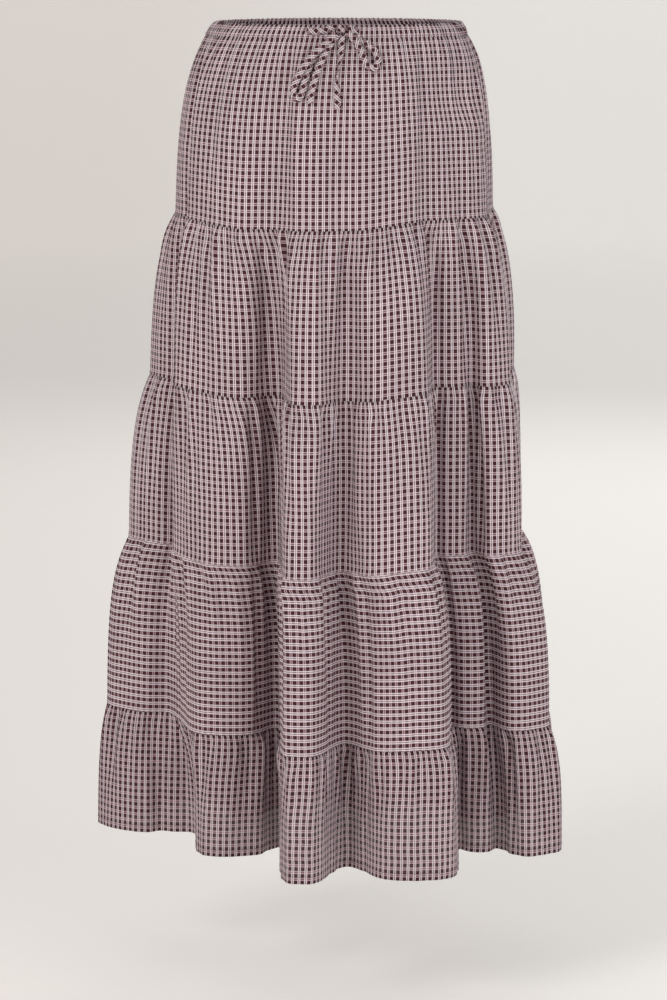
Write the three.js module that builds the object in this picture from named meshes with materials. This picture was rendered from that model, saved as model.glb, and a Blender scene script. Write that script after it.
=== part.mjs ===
// Long tiered skirt in the hollow form it keeps when it is worn: a narrow drawstring casing, a plain hip
// yoke with a pocket in the right side seam, and four gathered tiers, each fuller than the one above.
// Millimetres, +Z up, the front faces -Y and +X is the viewer's right. The origin is the middle of the
// waist opening, level with the top edge of the casing.
import * as THREE from "three";

const WALL = 1.8;
const CASING_WALL = 3;
const CASING_PROUD = 0.7;
const SEAM_GAP = 0.3;
const CASING_HEIGHT = 15;

// Sections at the waist, the four tier seams and the hem. width and depth are those of the smooth section
// that the folds wave about, and midX and midY its middle. open is how far the hem's folds have opened.
// ease is how far under the seam the cloth swells out before it hangs straight. sideLift and rightLift are
// how much higher the seam rides over the hips and on the right of the front.
const LEVELS = [
  { drop: 0, width: 281, depth: 218, midX: 0, midY: 0, open: 0, ease: 64, sideLift: 0, rightLift: 0 },
  { drop: 228, width: 361, depth: 290, midX: -6.3, midY: 2, open: 0.1, ease: 62, sideLift: 8, rightLift: 9 },
  { drop: 419, width: 407, depth: 350, midX: -7.7, midY: 3, open: 0.465, ease: 62, sideLift: 8, rightLift: 9 },
  { drop: 613, width: 438, depth: 376, midX: -14.5, midY: 0, open: 0.69, ease: 52, sideLift: 8, rightLift: 8 },
  { drop: 812, width: 492, depth: 388, midX: -11.6, midY: -2, open: 0.877, ease: 42, sideLift: 3, rightLift: 4 },
  { drop: 956.5, width: 516, depth: 392, midX: -10, midY: -4, open: 1, ease: 0, sideLift: 0, rightLift: 0 },
];
const HEM = LEVELS[LEVELS.length - 1];

// The large hanging folds, left of the front to the right and round the back. hip is the angle where a fold
// starts on the hips (0 in front, 90 on the right), and spread the half angle that it takes there. x and y
// are its crest at the hem, top the width of its rounded crest and facing the way that the crest looks.
// The valley that follows it has its own hip angle and hem point. A fold or a valley with opens or
// valleyOpens under 1 starts high up the skirt, and one over 1 starts low down.
const FOLDS = [
  { name: "left flank", hip: -76, spread: 4, x: -232, y: 37, top: 52, facing: -10, opens: 1,
    valleyHip: -67, valleyX: -172, valleyY: 32, valleyOpens: 3 },
  { name: "left front", hip: -46, spread: 10, x: -127, y: -92, top: 64, facing: 0, opens: 1.6,
    valleyHip: -24, valleyX: -70, valleyY: -42, valleyOpens: 1 },
  { name: "centre left", hip: -9.5, spread: 4.5, x: -44, y: -227, top: 32, facing: -5, opens: 1,
    valleyHip: 4.5, valleyX: 10, valleyY: -142, valleyOpens: 1 },
  { name: "centre right", hip: 21, spread: 8, x: 90, y: -211, top: 78, facing: 4, opens: 1,
    valleyHip: 35, valleyX: 139, valleyY: -52, valleyOpens: 1 },
  { name: "right front", hip: 45, spread: 4, x: 162, y: -70, top: 26, facing: 0, opens: 1,
    valleyHip: 55, valleyX: 184, valleyY: -48, valleyOpens: 1 },
  { name: "right flank", hip: 66, spread: 6, x: 240, y: -80, top: 60, facing: 35, opens: 1,
    valleyHip: 97, valleyX: 236, valleyY: 62, valleyOpens: 1 },
  { name: "right rear", hip: 117, spread: 13, x: 257, y: 140, top: 64, facing: 112, opens: 0.22,
    valleyHip: 141, valleyX: 168, valleyY: 100, valleyOpens: 1 },
  { name: "rear right", hip: 158, spread: 7, x: 92, y: 202, top: 44, facing: 172, opens: 1,
    valleyHip: 173, valleyX: 42, valleyY: 128, valleyOpens: 1 },
  { name: "rear centre", hip: 191, spread: 8, x: -32, y: 208, top: 64, facing: 182, opens: 1,
    valleyHip: 211, valleyX: -112, valleyY: 94, valleyOpens: 1 },
  { name: "rear left", hip: 226, spread: 8, x: -184, y: 202, top: 70, facing: 194, opens: 1,
    valleyHip: 245, valleyX: -240, valleyY: 128, valleyOpens: 1 },
  { name: "left side", hip: 266, spread: 3, x: -288, y: 98, top: 30, facing: 262, opens: 1,
    valleyHip: 273, valleyX: -275, valleyY: 66, valleyOpens: 1 },
];
const CREST_ROUND = 0.16;

const SIDE_SEAMS = { left: -92, right: 79 };
const PANELS = {
  front: { from: SIDE_SEAMS.left, to: SIDE_SEAMS.right },
  back: { from: SIDE_SEAMS.right, to: SIDE_SEAMS.left + 360 },
};

// Small gathers under each seam, counted over half the skirt.
const GATHERS = { waist: 12, 1: 20, 2: 20, 3: 22, 4: 26 };
const GATHER_DEPTH = 2.8;
const WAIST_GATHER_DEPTH = 1.1;
const GATHER_UNEVEN = 0.35;
const DEEPEST_GATHER = 1 + GATHER_UNEVEN;
const GATHER_PEAK = 14;
const GATHER_FADE = 60;
const COLUMNS_PER_GATHER = 3;
const TIER_ROWS = [0, 14, 46, 98];
const YOKE_DROPS = [30, 58, 90, 128, 175];

// The pocket mouth in the right side seam stands open: the front's edge is drawn back from the seam.
const MOUTH = { top: 15, bottom: 128, gape: 7 };
const BAG = { top: 26, bottom: 205, reach: 118, behind: 8, wall: 2 };

// The drawstring: a flat strip that leaves the casing by two buttonholes and is tied in a bow.
const TIE = { width: 8, thickness: 2.2 };
const KNOT = { x: 2.4, drop: 4, width: 12, height: 11, depth: 8, standOff: 7 };

const CLOTH = { color: 0x8e787c, roughness: 0.9, metalness: 0 };
const SHADED = { color: 0x6b565a, roughness: 0.9, metalness: 0 };
const STRIP = { color: 0xb39ea3, roughness: 0.85, metalness: 0 };

const radians = THREE.MathUtils.degToRad;
const { lerp, smoothstep } = THREE.MathUtils;

// The share of a tier's swelling that is reached at a distance v below its seam.
function swell(v, height, ease) {
  return (1 - Math.exp(-v / ease)) / (1 - Math.exp(-height / ease));
}

function smoothPoint(level, hip) {
  const angle = radians(hip);
  return {
    x: level.midX + (level.width / 2) * Math.sin(angle),
    y: level.midY - (level.depth / 2) * Math.cos(angle),
  };
}

// A point of a seam: its place on the smooth section, moved by the share of the hem's fold.
function foldedPoint(level, hip, x, y, opens) {
  const start = smoothPoint(level, hip);
  const end = smoothPoint(HEM, hip);
  const share = level.open ** opens;
  return { hip, place: new THREE.Vector3(start.x + share * (x - end.x), start.y + share * (y - end.y), 0) };
}

function foldPoints(level, fold) {
  const facing = radians(fold.facing);
  const out = { x: Math.sin(facing), y: -Math.cos(facing) };
  const points = [-1, 0, 1].map((side) => {
    const along = (side * fold.top) / 2;
    const sink = Math.abs(side) * CREST_ROUND * fold.top;
    const x = fold.x + along * Math.cos(facing) - sink * out.x;
    const y = fold.y + along * Math.sin(facing) - sink * out.y;
    return foldedPoint(level, fold.hip + side * fold.spread, x, y, fold.opens);
  });
  points.push(foldedPoint(level, fold.valleyHip, fold.valleyX, fold.valleyY, fold.valleyOpens));
  return points;
}

const SEAM_POINTS = LEVELS.map((level) => FOLDS.flatMap((fold) => foldPoints(level, fold)));

// The closed outline of the skirt at a distance v below seam number index, measured along each panel from
// side seam to side seam.
class Section {
  constructor(index, v) {
    const [upper, lower] = [LEVELS[index], LEVELS[index + 1]];
    const height = lower.drop - upper.drop;
    const out = swell(v, height, upper.ease);
    this.level = { drop: upper.drop + v };
    for (const key of ["width", "midX"]) this.level[key] = lerp(upper[key], lower[key], out);
    for (const key of ["sideLift", "rightLift"]) this.level[key] = lerp(upper[key], lower[key], v / height);
    const points = SEAM_POINTS[index].map(({ hip, place }, k) => ({
      hip,
      place: place.clone().lerp(SEAM_POINTS[index + 1][k].place, out),
    }));
    this.hips = points.map((point) => point.hip);
    this.curve = new THREE.CatmullRomCurve3(points.map((point) => point.place), true, "centripetal");
    this.runs = {};
    for (const [side, panel] of Object.entries(PANELS)) this.runs[side] = this.measure(panel);
  }

  // The curve's parameter where a hip angle lies.
  parameter(hip) {
    const count = this.hips.length;
    const turned = hip < this.hips[0] ? hip + 360 : hip;
    let index = this.hips.findLastIndex((value) => value <= turned);
    const next = index + 1 < count ? this.hips[index + 1] : this.hips[0] + 360;
    index += (turned - this.hips[index]) / (next - this.hips[index]);
    return (hip < this.hips[0] ? index - count : index) / count;
  }

  measure(panel) {
    const steps = 500;
    const from = this.parameter(panel.from);
    let to = this.parameter(panel.to);
    if (to < from) to += 1;
    const samples = [];
    let length = 0;
    for (let k = 0; k <= steps; k += 1) {
      const t = lerp(from, to, k / steps);
      const place = this.curve.getPoint(((t % 1) + 1) % 1);
      if (k > 0) length += place.distanceTo(samples[k - 1].place);
      samples.push({ place, length });
    }
    return { samples, length };
  }

  // The place and the outward direction at a share of a panel's width.
  at(side, share) {
    const { samples, length } = this.runs[side];
    const wanted = THREE.MathUtils.clamp(share, 0, 1) * length;
    let low = 0;
    let high = samples.length - 1;
    while (high - low > 1) {
      const middle = (low + high) >> 1;
      if (samples[middle].length <= wanted) low = middle;
      else high = middle;
    }
    const before = samples[low];
    const after = samples[high];
    const place = before.place.clone().lerp(after.place, (wanted - before.length) / (after.length - before.length));
    const ahead = samples[Math.min(high + 1, samples.length - 1)].place;
    const behind = samples[Math.max(low - 1, 0)].place;
    const along = ahead.clone().sub(behind).normalize();
    place.z = this.height(place);
    return { place, outward: new THREE.Vector3(along.y, -along.x, 0) };
  }

  height({ x, y }) {
    const { drop, sideLift, rightLift, midX, width } = this.level;
    const toSide = smoothstep(Math.abs(x - midX) / (width / 2), 0.55, 1);
    const toRight = smoothstep(x, 10, 100) * smoothstep(-y, -60, 40);
    return -drop + sideLift * toSide + rightLift * toRight * (1 - toSide);
  }
}

// Gathers are uneven: columns of the cloth bunch up and open out along the seam.
function gatheredShare(column, columns, index) {
  const share = column / columns;
  const wave = (turns, size, shift) =>
    (size / (2 * Math.PI * turns)) * (Math.sin(2 * Math.PI * turns * share + shift) - Math.sin(shift));
  return share + wave(5, 0.22, 1.3 + index) + wave(11, 0.2, 2.9 * index);
}

function gatherWave(column, columns, index) {
  const share = column / columns;
  const strength = 1 + GATHER_UNEVEN * Math.sin(2 * Math.PI * 7 * share + 2.1 * index);
  return strength * Math.cos((2 * Math.PI * column) / COLUMNS_PER_GATHER - Math.PI / 3);
}

function gatherDepth(v, height) {
  const rise = 0.45 + 0.55 * Math.min(1, v / GATHER_PEAK);
  const fade = Math.exp(-Math.max(0, v - GATHER_PEAK) / GATHER_FADE);
  return rise * fade * (1 - (v / height) ** 3);
}

// A closed wall from two grids of points with the same rows and columns.
function closedWall(outer, inner) {
  const rows = outer.length;
  const columns = outer[0].length;
  const vertices = [...outer.flat(), ...inner.flat()].flatMap((point) => [point.x, point.y, point.z]);
  const out = (row, column) => row * columns + column;
  const back = (row, column) => rows * columns + out(row, column);
  const faces = [];
  const quad = (a, b, c, d) => faces.push(a, b, c, a, c, d);
  for (let r = 0; r + 1 < rows; r += 1) {
    for (let c = 0; c + 1 < columns; c += 1) {
      quad(out(r, c), out(r + 1, c), out(r + 1, c + 1), out(r, c + 1));
      quad(back(r, c), back(r, c + 1), back(r + 1, c + 1), back(r + 1, c));
    }
    quad(back(r, 0), back(r + 1, 0), out(r + 1, 0), out(r, 0));
    quad(out(r, columns - 1), out(r + 1, columns - 1), back(r + 1, columns - 1), back(r, columns - 1));
  }
  for (let c = 0; c + 1 < columns; c += 1) {
    quad(out(0, c), out(0, c + 1), back(0, c + 1), back(0, c));
    quad(out(rows - 1, c), back(rows - 1, c), back(rows - 1, c + 1), out(rows - 1, c + 1));
  }
  const geometry = new THREE.BufferGeometry();
  geometry.setAttribute("position", new THREE.Float32BufferAttribute(vertices, 3));
  geometry.setIndex(faces);
  geometry.computeVertexNormals();
  return geometry;
}

function mesh(name, geometry, finish) {
  const piece = new THREE.Mesh(geometry, new THREE.MeshStandardMaterial(finish));
  piece.name = name;
  return piece;
}

// A cloth panel between two depths below a seam. depthAt gives the gathers' depth at a distance below the
// seam, and trim how far the panel's last edge is drawn back from the side seam.
function panel({ name, index, side, rows, gathers, depthAt, wall, proud = 0, trim = () => 0, finish = CLOTH }) {
  const columns = gathers * COLUMNS_PER_GATHER;
  const outer = [];
  const inner = [];
  for (const v of rows) {
    const section = new Section(index, v);
    const { length } = section.runs[side];
    const first = SEAM_GAP / 2 / length;
    const last = 1 - first - trim(section.level.drop) / length;
    const outerRow = [];
    const innerRow = [];
    for (let column = 0; column <= columns; column += 1) {
      const share = lerp(first, last, gatheredShare(column, columns, index));
      const { place, outward } = section.at(side, share);
      const offset = proud + depthAt(v) * gatherWave(column, columns, index);
      outerRow.push(place.clone().addScaledVector(outward, offset));
      innerRow.push(place.clone().addScaledVector(outward, offset - wall));
    }
    outer.push(outerRow);
    inner.push(innerRow);
  }
  return mesh(name, closedWall(outer, inner), finish);
}

function casing(side) {
  return panel({
    name: `waist_casing_${side}`,
    index: 0,
    side,
    rows: [0, CASING_HEIGHT - SEAM_GAP / 2],
    gathers: GATHERS.waist,
    depthAt: () => WAIST_GATHER_DEPTH,
    wall: CASING_WALL,
    proud: CASING_PROUD,
  });
}

// The mouth opens slowly from its top and closes quickly at its foot.
function mouthGape(drop) {
  const share = (drop - MOUTH.top) / (MOUTH.bottom - MOUTH.top);
  return share > 0 && share < 1 ? MOUTH.gape * 6.75 * share ** 2 * (1 - share) : 0;
}

function yoke(side) {
  const height = LEVELS[1].drop;
  return panel({
    name: `yoke_${side}`,
    index: 0,
    side,
    rows: [CASING_HEIGHT + SEAM_GAP / 2, ...YOKE_DROPS, height - SEAM_GAP / 2],
    gathers: GATHERS.waist,
    depthAt: (v) => WAIST_GATHER_DEPTH * gatherDepth(v - CASING_HEIGHT, height),
    wall: WALL,
    trim: side === "front" ? mouthGape : () => 0,
  });
}

function tier(index, side) {
  const height = LEVELS[index + 1].drop - LEVELS[index].drop;
  const foot = index === LEVELS.length - 2 ? height : height - SEAM_GAP / 2;
  return panel({
    name: `tier_${index + 1}_${side}`,
    index,
    side,
    rows: [SEAM_GAP / 2, ...TIER_ROWS.slice(1), foot],
    gathers: GATHERS[index],
    depthAt: (v) => GATHER_DEPTH * gatherDepth(v, height),
    wall: WALL,
  });
}

// The pocket bag lies flat behind the front yoke and crosses the mouth to the back's seam allowance.
function pocketBag() {
  const clear = WALL + DEEPEST_GATHER * WAIST_GATHER_DEPTH + SEAM_GAP;
  const outer = [];
  const inner = [];
  const columns = 14;
  const rows = 6;
  for (let row = 0; row <= rows; row += 1) {
    const drop = lerp(BAG.top, BAG.bottom, row / rows);
    const section = new Section(0, drop);
    const rounded = Math.sin(Math.PI * Math.min(1, 0.28 + 0.62 * (row / rows)));
    const reach = BAG.reach * (0.55 + 0.45 * rounded);
    const outerRow = [];
    const innerRow = [];
    for (let column = 0; column <= columns; column += 1) {
      const fromSeam = lerp(-reach, BAG.behind, column / columns);
      const side = fromSeam < 0 ? "front" : "back";
      const { length } = section.runs[side];
      const { place, outward } = section.at(side, fromSeam < 0 ? 1 + fromSeam / length : fromSeam / length);
      outerRow.push(place.clone().addScaledVector(outward, -clear));
      innerRow.push(place.clone().addScaledVector(outward, -clear - BAG.wall));
    }
    outer.push(outerRow);
    inner.push(innerRow);
  }
  return mesh("pocket_bag", closedWall(outer, inner), SHADED);
}

// A point in front of the skirt at x and at a drop, a given distance off the cloth.
function onFront(x, drop, standOff) {
  const section = new Section(0, Math.max(drop, 0));
  let low = 0;
  let high = 1;
  for (let k = 0; k < 24; k += 1) {
    const middle = (low + high) / 2;
    if (section.at("front", middle).place.x < x) low = middle;
    else high = middle;
  }
  const { place, outward } = section.at("front", low);
  return place.addScaledVector(outward, standOff).setZ(-drop);
}

// A curve whose frames keep the flat strip's face to the front.
class StripPath extends THREE.CatmullRomCurve3 {
  computeFrenetFrames(segments) {
    const frames = { tangents: [], normals: [], binormals: [] };
    for (let k = 0; k <= segments; k += 1) {
      const tangent = this.getTangentAt(k / segments);
      const across = new THREE.Vector3(0, 1, 0).cross(tangent).normalize();
      frames.tangents.push(tangent);
      frames.normals.push(across);
      frames.binormals.push(tangent.clone().cross(across));
    }
    return frames;
  }
}

function strip(name, route) {
  const points = route.map(([x, drop, standOff]) => onFront(x, drop, standOff));
  const path = new StripPath(points, false, "centripetal");
  const section = new THREE.Shape();
  const sides = 8;
  for (let k = 0; k < sides; k += 1) {
    const angle = (2 * Math.PI * (k + 0.5)) / sides;
    const x = (Math.sign(Math.cos(angle)) * TIE.width * Math.sqrt(Math.abs(Math.cos(angle)))) / 2;
    const y = (TIE.thickness / 2) * Math.sin(angle);
    if (k === 0) section.moveTo(x, y);
    else section.lineTo(x, y);
  }
  section.closePath();
  const steps = Math.ceil(path.getLength() / (1.1 * TIE.width));
  return mesh(name, new THREE.ExtrudeGeometry(section, { steps, extrudePath: path, bevelEnabled: false }), STRIP);
}

// Each route is a list of [x, drop below the waist edge, distance off the cloth].
const BOW = {
  drawstring_left_lead: [[-35, 6, 4], [-27, 7, 4.4], [-16, 6, 4.6], [-4.6, 2, 5]],
  drawstring_right_lead: [[22, 6, 4], [17, 6, 4.4], [13, 4, 4.6], [9.3, 2, 5]],
  drawstring_left_loop: [
    [-3.6, 8, 10.6], [-16, 21, 11], [-32, 37, 10.4], [-42, 56, 9], [-47, 74, 7.5], [-44, 81, 5.5], [-40, 74, 3.6],
    [-36, 56, 3.6], [-29, 38, 3.7], [-16, 24, 3.9], [-7, 14, 4.2],
  ],
  drawstring_right_loop: [
    [8.4, 7.6, 10], [18, 17, 9.4], [26, 31, 8.6], [30, 42, 7.6], [37, 47, 6.4], [43, 41, 5], [39, 28, 4],
    [30, 20, 3.8], [20, 15, 4], [10, 9.2, 4.8],
  ],
  drawstring_left_tail: [[-1.4, 9.4, 7.6], [-12, 24, 6.9], [-22, 46, 6.4], [-28, 66, 6.4], [-32, 86, 6]],
  drawstring_middle_tail: [[3.4, 10.2, 4.8], [2, 24, 4.2], [0, 44, 3.6], [-3, 66, 3.4], [-2, 92, 3.4]],
};

function knot() {
  const ball = new THREE.SphereGeometry(0.5, 12, 8);
  ball.scale(KNOT.width, KNOT.depth, KNOT.height);
  const place = onFront(KNOT.x, KNOT.drop, KNOT.standOff);
  ball.translate(place.x, place.y, place.z);
  return mesh("drawstring_knot", ball, STRIP);
}

const skirt = new THREE.Group();
skirt.name = "tiered_skirt";
for (const side of Object.keys(PANELS)) {
  skirt.add(casing(side), yoke(side));
  for (let index = 1; index < LEVELS.length - 1; index += 1) skirt.add(tier(index, side));
}
skirt.add(pocketBag(), knot());
for (const [name, route] of Object.entries(BOW)) skirt.add(strip(name, route));

export default skirt;
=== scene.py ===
"""Looks of a long tiered ruffle skirt in its hollow worn form. Metres, +Z up, the front faces -Y."""
import math
from collections import namedtuple

import bpy
import numpy as np
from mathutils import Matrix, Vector


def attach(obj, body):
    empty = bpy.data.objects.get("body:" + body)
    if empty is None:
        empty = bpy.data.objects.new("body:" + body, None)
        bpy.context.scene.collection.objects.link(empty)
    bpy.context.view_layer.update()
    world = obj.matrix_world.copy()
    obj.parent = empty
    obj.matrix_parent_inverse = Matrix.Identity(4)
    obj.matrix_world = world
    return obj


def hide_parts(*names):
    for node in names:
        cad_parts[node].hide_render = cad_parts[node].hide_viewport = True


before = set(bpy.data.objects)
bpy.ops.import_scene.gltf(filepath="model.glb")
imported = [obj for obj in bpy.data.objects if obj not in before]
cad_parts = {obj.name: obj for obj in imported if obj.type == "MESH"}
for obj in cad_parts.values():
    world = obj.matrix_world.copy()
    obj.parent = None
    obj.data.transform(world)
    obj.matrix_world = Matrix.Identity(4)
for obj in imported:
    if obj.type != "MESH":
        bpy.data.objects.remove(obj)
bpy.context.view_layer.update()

TAU = 2 * math.pi

# The same sections, folds and sewn lines as the skirt's solids have.
Level = namedtuple("Level", "drop width depth mid_x mid_y open ease side_lift right_lift")
LEVELS = [
    Level(0, 0.281, 0.218, 0, 0, 0, 0.064, 0, 0),
    Level(0.228, 0.361, 0.290, -0.0063, 0.002, 0.1, 0.062, 0.008, 0.009),
    Level(0.419, 0.407, 0.350, -0.0077, 0.003, 0.465, 0.062, 0.008, 0.009),
    Level(0.613, 0.438, 0.376, -0.0145, 0, 0.69, 0.052, 0.008, 0.008),
    Level(0.812, 0.492, 0.388, -0.0116, -0.002, 0.877, 0.042, 0.003, 0.004),
    Level(0.9565, 0.516, 0.392, -0.010, -0.004, 1, 0, 0, 0),
]
HEM = LEVELS[-1]

Fold = namedtuple("Fold", "name hip spread x y top facing opens valley_hip valley_x valley_y valley_opens")
FOLDS = [
    Fold("left flank", -76, 4, -0.232, 0.037, 0.052, -10, 1, -67, -0.172, 0.032, 3),
    Fold("left front", -46, 10, -0.127, -0.092, 0.064, 0, 1.6, -24, -0.070, -0.042, 1),
    Fold("centre left", -9.5, 4.5, -0.044, -0.227, 0.032, -5, 1, 4.5, 0.010, -0.142, 1),
    Fold("centre right", 21, 8, 0.090, -0.211, 0.078, 4, 1, 35, 0.139, -0.052, 1),
    Fold("right front", 45, 4, 0.162, -0.070, 0.026, 0, 1, 55, 0.184, -0.048, 1),
    Fold("right flank", 66, 6, 0.240, -0.080, 0.060, 35, 1, 97, 0.236, 0.062, 1),
    Fold("right rear", 117, 13, 0.257, 0.140, 0.064, 112, 0.22, 141, 0.168, 0.100, 1),
    Fold("rear right", 158, 7, 0.092, 0.202, 0.044, 172, 1, 173, 0.042, 0.128, 1),
    Fold("rear centre", 191, 8, -0.032, 0.208, 0.064, 182, 1, 211, -0.112, 0.094, 1),
    Fold("rear left", 226, 8, -0.184, 0.202, 0.070, 194, 1, 245, -0.240, 0.128, 1),
    Fold("left side", 266, 3, -0.288, 0.098, 0.030, 262, 1, 273, -0.275, 0.066, 1),
]
CREST_ROUND = 0.16
SIDE_SEAMS = {"left": -92, "right": 79}
PANELS = {
    "front": (SIDE_SEAMS["left"], SIDE_SEAMS["right"]),
    "back": (SIDE_SEAMS["right"], SIDE_SEAMS["left"] + 360),
}
CASING_HEIGHT = 0.015
GATHERS = {0: 12, 1: 20, 2: 20, 3: 22, 4: 26}
GATHER_DEPTH = 0.0028
WAIST_GATHER_DEPTH = 0.0011
GATHER_UNEVEN = 0.35
GATHER_PEAK = 0.014
GATHER_FADE = 0.060

# Width of each tier's cloth in the flat, half of the way round.
FLAT_WIDTHS = {
    "front": {0: 0.52, 1: 0.73, 2: 0.95, 3: 1.13, 4: 1.27},
    "back": {0: 0.60, 1: 0.80, 2: 0.96, 3: 1.12, 4: 1.22},
}
COLUMN_WIDTH = 0.0026
FINE_STEPS = 3
# A fold draws in the cloth beside it over about this distance.
DRIFT_REACH = 0.036
# The least and the most of its even width that a column of cloth takes up along the skirt.
COLUMN_SHARES = (0.55, 1.45)
ROW_HEIGHT = 0.0042
CLOTH_THICKNESS = 0.00035
HEM_TURN = 0.009
ALLOWANCE = 0.008

# Uneven small gathers: the distance between two, how deep they are, how far under the seam they are deepest
# and over what length they fade.
Gather = namedtuple("Gather", "spacing depth peak fade")
SMALL_GATHERS = [
    Gather(0.0072, 0.00065, 0.003, 0.012),
    Gather(0.0140, 0.00150, 0.011, 0.042),
    Gather(0.0270, 0.00210, 0.026, 0.105),
]
# The small gathers of the yoke are this share of the other tiers'.
YOKE_GATHERS = 0.9
Wave = namedtuple("Wave", "spacing depth peak")
SOFT_WAVE = Wave(0.055, 0.0014, 0.050)
# How far the gathers draw the cloth's columns sideways.
SIDE_PULL = 0.0010
SIDE_PULL_SPACING = 0.040
SIDE_PULL_FADE = 0.060

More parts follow.
